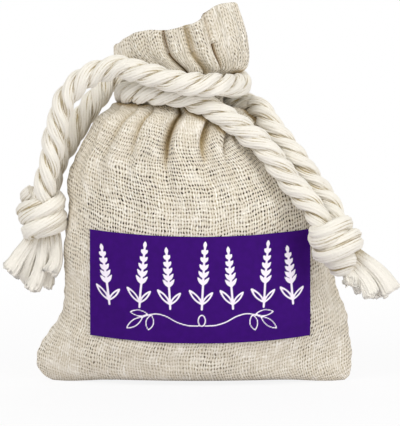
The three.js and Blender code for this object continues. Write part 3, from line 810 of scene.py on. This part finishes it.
def rope_parts(sweep, start, end, diameter, lay, seed, yarn_lay=ROPE_YARN_LAY, tuck=0):
    """Points, faces, UV and painted shade of a rope of three laid strands between two lengths of a sweep.
    Its ends run on for a few thinner rows, tucked into the piece beyond."""
    rows = sweep.between(start, end)
    rows = np.arange(rows[0] - tuck, rows[-1] + tuck + 1)
    thinner = np.ones(len(rows))
    if tuck:
        thinner[:tuck] = thinner[-tuck:] = TUCKED
    at = sweep.at[rows]
    length = at[:, None]
    centre_radius = STRAND_CENTRE * diameter
    strand_radius = STRAND_RADIUS * diameter
    outer = centre_radius + strand_radius
    column = np.arange(SIDES) / SIDES
    around = TURN * (column - length / yarn_lay)
    yarn = np.abs(np.cos(math.pi * YARNS * column))
    number = np.round(YARNS * column) % YARNS
    parts = []
    for strand in range(STRANDS):
        angle = TURN * (strand / STRANDS - length / lay)
        outward = np.cos(angle) * sweep.normals[rows] + np.sin(angle) * sweep.binormals[rows]
        wobble = 1 + 0.05 * lumps(np.stack([at, at * 0, at * 0 + 40 * strand], 1), 7, seed)
        swell = np.sin(2.4 * number + 5 * strand + 0.5 * length + seed) * np.sin(0.31 * length + number)
        rough = np.broadcast_arrays(length / 3.2, 2.1 * np.cos(around), 2.1 * np.sin(around))
        rough = lumps(np.stack(rough, -1) + 30 * strand, 2.4, seed + 5)
        section = 0.87 + yarn * (0.13 + 0.1 * swell) + 0.03 * rough
        radius = strand_radius * (wobble * thinner)[:, None] * section
        reach = radius * np.cos(around)
        spread = radius * np.sin(around) * STRAND_SPREAD
        centre = sweep.points[rows] + outward * centre_radius
        ring = rings(centre, outward, reach, np.cross(sweep.tangents[rows], outward), spread)
        # Painted shade: darker the further a point lies inwards between the strands, and between the yarns.
        inward = (outer - np.hypot(centre_radius + reach, spread)) / (0.6 * outer)
        crease_shade = np.clip(inward, 0, 1) ** 1.2 + (0.3 - 0.3 * swell) * (1 - yarn) - 0.08 * rough
        across = np.abs(column - 0.5) * TURN * strand_radius + 20 * strand
        parts.append(tube(ring, across, at, np.clip(crease_shade, 0, 1)))
    return joined(parts)


KNOT_REACH = 3.75  # from the knot's axis to the middle of the rope wound round it
KNOT_STEPS = 260
KNOT_RING_GAP = 0.4
KNOT_LAY = 60.0
KNOT_YARN_LAY = 90.0
LEFT_KNOT = {
    "centre": [-38.4, -2, 42.4],
    "axis": [-0.12, 0.02, 1],
    "turns": 2.3,
    "start": 0.32,
    "climb": 9.8,
    "twist": 1,
    "tips": [
        [-0.575, -0.05, -0.93], [-0.36, 0.12, -1.12], [-0.16, -0.16, -1.28], [0.02, 0.04, -1.22],
        [0.14, -0.2, -0.98],
    ],
}
RIGHT_KNOT = {
    "centre": [34.9, -17.4, 36],
    "axis": [-0.62, -0.05, 0.76],
    "turns": 2.45,
    "start": 0.2,
    "climb": 10.6,
    "twist": -1,
    "tips": [
        [0.92, -0.05, -0.77], [0.76, 0.16, -0.83], [0.59, -0.14, -0.83], [0.41, 0.06, -0.78],
        [0.23, -0.12, -0.66],
    ],
}


def knot_frame(knot):
    """A knot's centre and axes: the third runs along the cord, the first to the right, the second back."""
    up = np.array(knot["axis"], float) / np.linalg.norm(knot["axis"])
    back = np.cross(up, (1, 0, 0))
    back /= np.linalg.norm(back)
    return np.array(knot["centre"], float), np.stack([np.cross(back, up), back, up])


def knot_parts(knot, diameter):
    """An overhand knot: the rope wound round itself, its ends tucked inside."""
    centre, axes = knot_frame(knot)
    share = np.linspace(0, 1, KNOT_STEPS)
    angle = knot["twist"] * TURN * (knot["turns"] * share + knot["start"])
    tucked = smooth(0, 0.16, share) * (1 - smooth(0.84, 1, share))
    out = KNOT_REACH * (0.25 + 0.75 * tucked) * (0.93 + 0.07 * np.sin(math.pi * share))
    local = np.stack([out * np.cos(angle), out * np.sin(angle), knot["climb"] * (share - 0.5)], 1)
    sweep = Sweep(centre + local @ axes, KNOT_RING_GAP)
    return rope_parts(sweep, 0, sweep.total, diameter, KNOT_LAY * knot["twist"], 4, KNOT_YARN_LAY)


TASSEL_LENGTH = 15.0
LOCK_SPREAD = 0.68  # how far apart the locks leave the knot, as a share of the way between their tips
LOCK_LIMIT = 4.2  # but no further to a side than this
LOCK_START = 3.0  # below the knot's centre, hidden in it
LOCK_BEND = 9.5
LOCK_STEPS = 40
LOCK_RING_GAP = 0.35
LOCK_SIDES = 60
LOCK_YARNS = 9
LOCK_RIBS = ((3, 1.6), (7, 1.5), (13, 1.2), (21, 1.0))  # how many, and what divides their height
YARN_SIDES = 6
YARN_RING_GAP = 0.9
TO_BACK = np.array((0, 1, 0))


def tassel_parts(knot, yarn, seed):
    """Soft bunches of loosened yarn that leave the knot side by side and widen to blunt, ragged tips."""
    rng = np.random.default_rng(seed)
    centre, axes = knot_frame(knot)
    wide = np.cross(axes[2], TO_BACK)
    wide /= np.linalg.norm(wide)
    parts = []
    share = np.linspace(0, 1, LOCK_STEPS)[:, None]
    tips = np.array(knot["tips"]) * TASSEL_LENGTH
    places = (tips + TASSEL_LENGTH * 0.9 * axes[2]) @ wide
    for tip, place in zip(tips, places - places.mean()):
        side = wide * np.clip(place * LOCK_SPREAD, -LOCK_LIMIT, LOCK_LIMIT)
        start = centre + side * 0.6 - axes[2] * LOCK_START
        bend = centre + side * 1.25 - axes[2] * LOCK_BEND
        line = start * (1 - share) ** 2 + 2 * bend * share * (1 - share) + (centre + tip) * share**2
        parts.append(lock_parts(line, rng))
        for _ in range(LOCK_YARNS):
            shift = wide * rng.uniform(-1.7, 1.7) + TO_BACK * rng.uniform(-0.9, 0.9)
            loose = line + shift * np.linspace(0.3, 1.15, len(line))[:, None]
            loose = loose[: int(len(loose) * rng.uniform(0.9, 1.0))]
            parts.append(yarn_parts(loose, yarn * rng.uniform(0.6, 1), rng.uniform(0, 50)))
    return joined(parts)


def lock_parts(line, rng):
    """One bunch: a flattened tube, ribbed by its yarns, that widens towards a ragged end."""
    sweep = Sweep(line, LOCK_RING_GAP)
    share = sweep.at / sweep.total
    tangents = sweep.tangents
    deep = TO_BACK - tangents * tangents[:, 1:2]
    deep /= np.linalg.norm(deep, axis=1, keepdims=True)
    broad = np.cross(deep, tangents)
    wave = 0.45 * np.sin(share * rng.uniform(5, 8) + rng.uniform(0, TURN)) * share
    centre = sweep.points + broad * wave[:, None] + deep * (0.7 * wave[:, None])
    column = np.arange(LOCK_SIDES) / LOCK_SIDES
    around = TURN * column
    ribs = sum(np.sin(around * count + rng.uniform(0, TURN)) / part for count, part in LOCK_RIBS)
    thickness = 1 + 0.075 * (ribs + 0.35 * np.sin(share[:, None] * 5 + np.roll(ribs, 9)))
    half_wide = (1.3 + 0.95 * share**1.2)[:, None] * thickness * rng.uniform(0.85, 1.15)
    half_deep = (0.8 + 0.25 * share)[:, None] * thickness
    ring = rings(centre, broad, half_wide * np.cos(around), deep, half_deep * np.sin(around))
    ragged = rng.uniform(-0.9, 0.4, LOCK_SIDES) + 0.3 * np.sin(around * 2 + rng.uniform(0, TURN))
    ring += tangents[:, None] * (ragged * smooth(0.7, 1, share)[:, None])[..., None]
    inner = centre[-1] + (ring[-1] - centre[-1]) * 0.55 + tangents[-1] * 0.3
    length = np.append(sweep.at, sweep.total + 0.8)
    # Painted shade: darker near the knot, where the lock leaves it, and between its ribs.
    shade = np.clip(0.95 - length[:, None] / 7.5, 0, 1) + 0.16 * np.clip(-ribs, 0, 2)
    ring = np.concatenate([ring, inner[None]])
    return tube(ring, np.abs(column - 0.5) * 11, length, np.clip(shade, 0, 1))


def yarn_parts(line, diameter, shift):
    """One yarn as a thin closed tube that narrows at its end."""
    sweep = Sweep(line, YARN_RING_GAP)
    around = np.arange(YARN_SIDES) / YARN_SIDES * TURN
    radius = np.full((len(sweep.at), 1), diameter / 2)
    radius[-1] *= 0.55
    reach, spread = radius * np.cos(around), radius * np.sin(around)
    ring = rings(sweep.points, sweep.normals, reach, sweep.binormals, spread)
    # Painted shade, darker near the knot.
    shade = np.clip(0.75 - sweep.at / 7, 0.06, 1)[:, None]
    return tube(ring, around * diameter / 2 + shift, sweep.at, shade)


# leaves holds the two points of the route at which the cord leaves the neck, and bend two places
# along its strands.
Cord = namedtuple("Cord", "side strands route leaves bend knot rope_seed tassel_seed")
LEFT_BEND = ((-19, 0, 76), (-27, 0, 76))
RIGHT_BEND = ((14, -6, 66), (19.5, -6.8, 59.7))
CORDS = (
    Cord("left", ("outer", "inner"), LEFT_ROUTE, (7, 18), LEFT_BEND, LEFT_KNOT, 2, 21),
    Cord("right", ("lower", "upper"), RIGHT_ROUTE, (6, 21), RIGHT_BEND, RIGHT_KNOT, 3, 22),
)


def strand_ends(cord):
    """A cord's line, how far along it each point lies, and where its two strands end in the neck loop."""
    line = route_line(cord.route)
    lengths = distances(line)
    first, second = (lengths[ROUTE_STEPS * leave] for leave in cord.leaves)
    return line, lengths, first + LEAD, second - LEAD


def print_line(points):
    """A smooth line on the label through some points."""
    return route_line([[x, 0, z] for x, z in points])[:, [0, 2]]


def heading(angle):
    """The direction on the label at an angle in degrees."""
    turned = math.radians(angle)
    return np.array([math.cos(turned), math.sin(turned)])


def leaf(x, z, length, angle, breadth):
    """The outline of a small leaf from its stalk's end, as two arcs."""
    share = np.linspace(0, 1, 12)
    bulge = breadth * length * np.sin(math.pi * share) ** 0.8
    middle = np.array([x, z]) + np.outer(share * length, heading(angle))
    return [middle + np.outer(sign * bulge, heading(angle + 90)) for sign in (0.5, -0.5)]


# The printed ornament, in millimetres from the label's middle.
PRINT_MIDDLE = 0.4
STEM = [[-12.4, -6.3], [-10.9, -6.1], [-8.7, -6.6], [-5.9, -8.0], [-3.4, -8.7], [-0.8, -8.8]]
BRANCH = [[-12.4, -6.3], [-13.6, -6.7], [-14.6, -7.2]]
LEAVES = ((-13.3, -6.3, 4.3, 177, 0.34), (-14.6, -7.2, 4.9, 218, 0.31), (-12.4, -6.5, 3.8, 259, 0.5))
FINE_PRINT = 0.3
LEAF_PRINT = 0.26
SPRIG_PRINT = 0.5
SPRIG_LEAF_PRINT = 0.4
# Each sprig's place across the label, its lean in degrees and its height.
SPRIGS = (
    (-22.3, -8, 13.2), (-14.9, 5, 14.8), (-7.3, -4, 13.6), (0.4, 3, 15.2), (8.1, -5, 13.8), (15.6, 4, 14.8),
    (22.9, -6, 13),
)
SPRIG_FOOT = -4.7
SPRIG_LEAVES = ((-1, 4.6), (1, 3.8))  # the side and the length of each
BUD_PAIRS = 5
BUD_WIDTHS = np.array([0.35, 0.75, 0.95, 0.85, 0.55, 0.2]) * 0.95


def label_strokes():
    """The ornament: lines on the label, each with its width."""
    strokes = []
    for side in (-1, 1):
        for line in (STEM, BRANCH):
            strokes.append((print_line([[PRINT_MIDDLE - side * x, z] for x, z in line]), FINE_PRINT))
        for x, z, length, angle, breadth in LEAVES:
            turned = angle if side < 0 else 180 - angle
            arcs = leaf(PRINT_MIDDLE - side * x, z, length, turned, breadth)
            strokes += [(arc, LEAF_PRINT) for arc in arcs]
    loop = np.linspace(0, TURN, 30)
    circle = np.stack([PRINT_MIDDLE + 0.85 * np.sin(loop), -7.5 - 1.35 * np.cos(loop)], 1)
    strokes.append((circle, FINE_PRINT))
    for x, lean, height in SPRIGS:
        strokes += sprig(x, SPRIG_FOOT, height, lean)
    return strokes


def sprig(x, z, height, lean):
    """A generic sprig of lavender: a curved stem, pairs of buds up its spike and two narrow leaves."""
    tilt = math.tan(math.radians(lean))
    middle = [x + 0.35 * height * tilt, z + 0.4 * height]
    stem = print_line([[x, z], middle, [x + height * tilt, z + height]])
    strokes = [(stem, SPRIG_PRINT)]
    for level in range(BUD_PAIRS):
        base = stem[int((0.52 + 0.1 * level) * (len(stem) - 1))]
        for side in (-1, 1):
            strokes.append(bud(base, 2.3 - 0.28 * level, 90 - lean - side * 38))
    strokes.append(bud(stem[-1], 1.5, 90 - lean))
    foot = stem[int(0.12 * len(stem))]
    for side, length in SPRIG_LEAVES:
        strokes += [(arc, SPRIG_LEAF_PRINT) for arc in leaf(*foot, length, 90 - side * 42, 0.22)]
    return strokes


def bud(base, size, angle):
    """A filled bud: a thick short stroke that narrows at both ends."""
    return base + np.outer(np.linspace(0, size, len(BUD_WIDTHS)), heading(angle)), BUD_WIDTHS


def print_distance(places):
    """How far each place on the label lies outside the nearest printed line."""
    nearest = np.full(len(places), 9.0)
    for line, width in label_strokes():
        half = np.broadcast_to(np.asarray(width, float) / 2, len(line))
        for start, end, w0, w1 in zip(line[:-1], line[1:], half[:-1], half[1:]):
            way = end - start
            t = np.clip((places - start) @ way / max(way @ way, 1e-9), 0, 1)
            gap = np.linalg.norm(places - start - t[:, None] * way, axis=1) - (w0 + (w1 - w0) * t)
            nearest = np.minimum(nearest, gap)
    return nearest


LABEL_STEP = 0.26
LABEL_DIP = 1.35  # the label's lower edge hangs this far lower in its middle than at its ends
LABEL_GAP = 0.08  # the least room between the cloth and the label's inner side
LABEL_START = 0.12  # the room before the label is smoothed
LABEL_ROUNDS = 60  # of smoothing
RAY_START = -60  # in front of everything


def settings():
    """The sizes and the colours that the panel shows."""
    scene = bpy.context.scene
    return scene.sachet_sizes, scene.sachet_colours


def laid_on(mesh, x, z):
    """How far back a sheet lies that covers a mesh closely but bridges its small hollows."""
    tree = BVHTree.FromPolygons([v.co for v in mesh.vertices], [tuple(p.vertices) for p in mesh.polygons])
    y = np.empty_like(x)
    for index in np.ndindex(x.shape):
        start = Vector((x[index], RAY_START, z[index])) * MM
        y[index] = tree.ray_cast(start, Vector((0, 1, 0)))[0].y / MM
    lain = y - LABEL_START
    for _ in range(LABEL_ROUNDS):
        padded = np.pad(lain, 1, mode="edge")
        mean = (padded[:-2, 1:-1] + padded[2:, 1:-1] + padded[1:-1, :-2] + padded[1:-1, 2:]) / 4
        lain = np.minimum(mean, y - LABEL_GAP)
    return lain


CAMERA_ELEVATION = math.radians(4.5)
CAMERA_TARGET = Vector((1.25, -4, 42.44)) * MM
CAMERA_DISTANCE = 887.5 * MM
CAMERA_SENSOR = 36
CAMERA_LENS = 300
# Each lamp's name, place in metres, size in metres and power in watts.
LAMPS = (
    ("key", (-0.26, -0.42, 0.46), 0.3, 1.5),
    ("fill", (0.46, -0.42, 0.28), 0.5, 1.75),
    ("back", (0.05, 0.5, 0.45), 0.5, 1.2),
)
LAMP_AIM = Vector((0, 0, 0.045))
FLOOR_SIZE = 6
FLOOR_COLOUR = (0.84, 0.83, 0.87, 1)
SHADOW_REACH = (0.05, 0.3)  # distances in metres over which the faint shadow round the sachet ends
SHADOW_SHARE = 0.12
WORLD_TONE = (1, 0.97, 0.91)  # the colour of the light that the world gives, where it shows white
WORLD_LIGHT = 0.48  # its strength, where it shows 1


class SACHET_OT_stage(Operator):
    """Sets the camera, the lamps, the floor and the world"""

    bl_idname = "sachet.stage"
    bl_label = "Stage"

    def execute(self, context):
        back = Vector((0, -math.cos(CAMERA_ELEVATION), math.sin(CAMERA_ELEVATION)))
        bpy.ops.object.camera_add(location=CAMERA_TARGET + back * CAMERA_DISTANCE)
        camera = context.object
        camera.name = "camera"
        camera.rotation_euler = (math.pi / 2 - CAMERA_ELEVATION, 0, 0)
        camera.data.sensor_width = CAMERA_SENSOR
        camera.data.lens = CAMERA_LENS
        camera.data.clip_start = 0.01
        context.scene.camera = camera
        for name, place, size, power in LAMPS:
            bpy.ops.object.light_add(type="AREA", location=place)
            lamp = context.object
            lamp.name = name
            lamp.data.size = size
            lamp.data.energy = power
            lamp.rotation_euler = (LAMP_AIM - lamp.location).to_track_quat("-Z", "Y").to_euler()
        self.lay_floor(context)
        self.light_world(context)
        context.scene.view_settings.view_transform = "Standard"
        return {"FINISHED"}

    def lay_floor(self, context):
        """A floor that shows nearly white, with a faint shadow near the sachet."""
        bpy.ops.mesh.primitive_plane_add(size=FLOOR_SIZE)
        floor = context.object
        floor.name = "floor"
        finish = Finish("floor", Roughness=0.9, Base_Color=FLOOR_COLOUR)
        seen = finish.field("ShaderNodeLightPath", output="Is Camera Ray")
        white = finish.field("ShaderNodeEmission", {"Strength": 1.0})
        place = finish.field("ShaderNodeTexCoord", output="Object")
        away = finish.field("ShaderNodeVectorMath", [place], "Value", operation="LENGTH")
        share = seen * (away.step(*SHADOW_REACH) * SHADOW_SHARE + (1 - SHADOW_SHARE))
        lit = Field(finish, finish.shader.outputs["BSDF"])
        mixed = finish.field("ShaderNodeMixShader", (share, lit, white))
        finish.tree.links.new(mixed.socket, finish.tree.nodes["Material Output"].inputs["Surface"])
        floor.data.materials.append(finish.material)

    def light_world(self, context):
        """A world that shows white and gives a dimmer, warmer light."""
        world = bpy.data.worlds.new("studio")
        context.scene.world = world
        world.use_nodes = True
        nodes = Nodes(world.node_tree)
        path = nodes.node("ShaderNodeLightPath").outputs
        seen = Field(nodes, path["Is Camera Ray"]).at_least(Field(nodes, path["Is Glossy Ray"]))
        background = world.node_tree.nodes["Background"]
        tone = nodes.mix(seen, WORLD_TONE, (1, 1, 1))
        strength = seen * (1 - WORLD_LIGHT) + WORLD_LIGHT
        for name, field in (("Color", tone), ("Strength", strength)):
            world.node_tree.links.new(field.socket, background.inputs[name])


class SACHET_OT_cords(Operator):
    """Lays both cords: their loops round the neck and their free strands"""

    bl_idname = "sachet.cords"
    bl_label = "Cords"

    def execute(self, context):
        sizes, colours = settings()
        material = cotton(colours)
        for cord in CORDS:
            line, _, first, second = strand_ends(cord)
            sweep = Sweep(line)
            common = {"diameter": sizes.cord_diameter, "lay": sizes.cord_lay, "seed": cord.rope_seed}
            parts = rope_parts(sweep, first, second, tuck=TUCKED_ROWS, **common)
            loop = add_rope(cord.side + "_rope_loop", parts, material)
            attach(loop, "root")
            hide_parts(cord.side + "_cord_neck_loop")
            for which, (start, end) in zip(cord.strands, ((0, first), (second, sweep.total))):
                parts = rope_parts(sweep, start, end, **common)
                strand = add_rope(f"{cord.side}_rope_{which}", parts, material)
                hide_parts(f"{cord.side}_cord_{which}_strand")
        return {"FINISHED"}


class SACHET_OT_ends(Operator):
    """Ties the knot at the end of each cord and frays what hangs from it into a tassel"""

    bl_idname = "sachet.ends"
    bl_label = "Knots and tassels"

    def execute(self, context):
        sizes, _ = settings()
        for cord in CORDS:
            self.add_end(cord, "rope_knot", "knot", knot_parts(cord.knot, sizes.cord_diameter))
        for cord in CORDS:
            parts = tassel_parts(cord.knot, sizes.yarn_diameter, cord.tassel_seed)
            self.add_end(cord, "frayed_tassel", "tassel", parts)
            self.declare_strands(cord, sizes.cord_diameter)
        return {"FINISHED"}

    def add_end(self, cord, name, node, parts):
        piece = add_rope(f"{cord.side}_{name}", parts, bpy.data.materials["cotton"])
        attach(piece, cord.side + "_cord_end")
        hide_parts(f"{cord.side}_{node}")

    def declare_strands(self, cord, diameter):
        """Bakes each free strand's placement into its mesh, and works out its length from the neck to its
        cord's end.
        """
        line, lengths, first, second = strand_ends(cord)
        for which, path in zip(cord.strands, (line[lengths <= first][::-1], line[lengths >= second])):
            piece = bpy.data.objects[f"{cord.side}_rope_{which}"]
            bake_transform(piece)
            distances(path)[-1] * MM


class SACHET_OT_pouch(Operator):
    """Sews the pouch from its front and back panels"""

    bl_idname = "sachet.pouch"
    bl_label = "Pouch"

    def execute(self, context):
        sizes, colours = settings()
        material = linen(sizes, colours)
        for name, first_turn, nodes in (
            ("front_cloth", 0.0, ("front_panel", "lavender_fill")),
            ("back_cloth", 0.5, ("back_panel",)),
        ):
            piece = add_panel(name, first_turn, sizes, material)
            thicken(piece, sizes.cloth_thickness, -1)
            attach(piece, "root")
            for node in nodes:
                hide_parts(node)
        return {"FINISHED"}


class SACHET_OT_label(Operator):
    """Lays the printed label on the front panel"""

    bl_idname = "sachet.label"
    bl_label = "Label"

    def execute(self, context):
        sizes, colours = settings()
        width = LABEL_HIGH[0] - LABEL_LOW[0]
        middle = (LABEL_LOW[0] + LABEL_HIGH[0]) / 2
        base = LABEL_LOW[2] + LABEL_DIP
        height = LABEL_HIGH[2] - base
        columns, rows = (int(size / LABEL_STEP) + 1 for size in (width, height))
        across, up = np.meshgrid(np.linspace(-0.5, 0.5, columns), np.linspace(0, 1, rows))
        x = middle + across * width
        z = base + height * up - LABEL_DIP * (1 - (2 * across) ** 2)
        points = np.stack([x, laid_on(bpy.data.objects["front_cloth"].data, x, z), z], -1)
        places = np.stack([x - middle, height * (up - 0.5)], -1)
        distance = print_distance(places.reshape(-1, 2))
        faces, material = grid_faces(*x.shape), label_cloth(colours)
        uv, attributes = {"sheet": places}, {"print_distance": distance}
        piece = new_piece("printed_label", points, faces, material, uv, attributes)
        thicken(piece, sizes.label_thickness, 1)
        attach(piece, "root")
        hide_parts("label")
        flat = [distances(points, axis).max(axis).mean() * MM for axis in (1, 0)]
        return {"FINISHED"}


class SACHET_PT_panel(Panel):
    """Shows the sachet's sizes and colours, and a button for each step"""

    bl_label = "Lavender Sachet"
    bl_idname = "SACHET_PT_panel"
    bl_space_type = "VIEW_3D"
    bl_region_type = "UI"
    bl_category = "Sachet"

    def draw(self, context):
        for group in settings():
            for name in group.__annotations__:
                self.layout.prop(group, name)
        for step in STEPS:
            self.layout.operator(step.bl_idname)


STEPS = (SACHET_OT_stage, SACHET_OT_cords, SACHET_OT_ends, SACHET_OT_pouch, SACHET_OT_label)
CLASSES = (SachetSizes, SachetColours, *STEPS, SACHET_PT_panel)


def register():
    for cls in CLASSES:
        bpy.utils.register_class(cls)
    bpy.types.Scene.sachet_sizes = PointerProperty(type=SachetSizes)
    bpy.types.Scene.sachet_colours = PointerProperty(type=SachetColours)


def unregister():
    del bpy.types.Scene.sachet_colours
    del bpy.types.Scene.sachet_sizes
    for cls in reversed(CLASSES):
        bpy.utils.unregister_class(cls)


def main():
    register()
    for step in STEPS:
        group, name = step.bl_idname.split(".")
        getattr(getattr(bpy.ops, group), name)()
    bpy.context.view_layer.update()


if __name__ == "__main__":
    main()
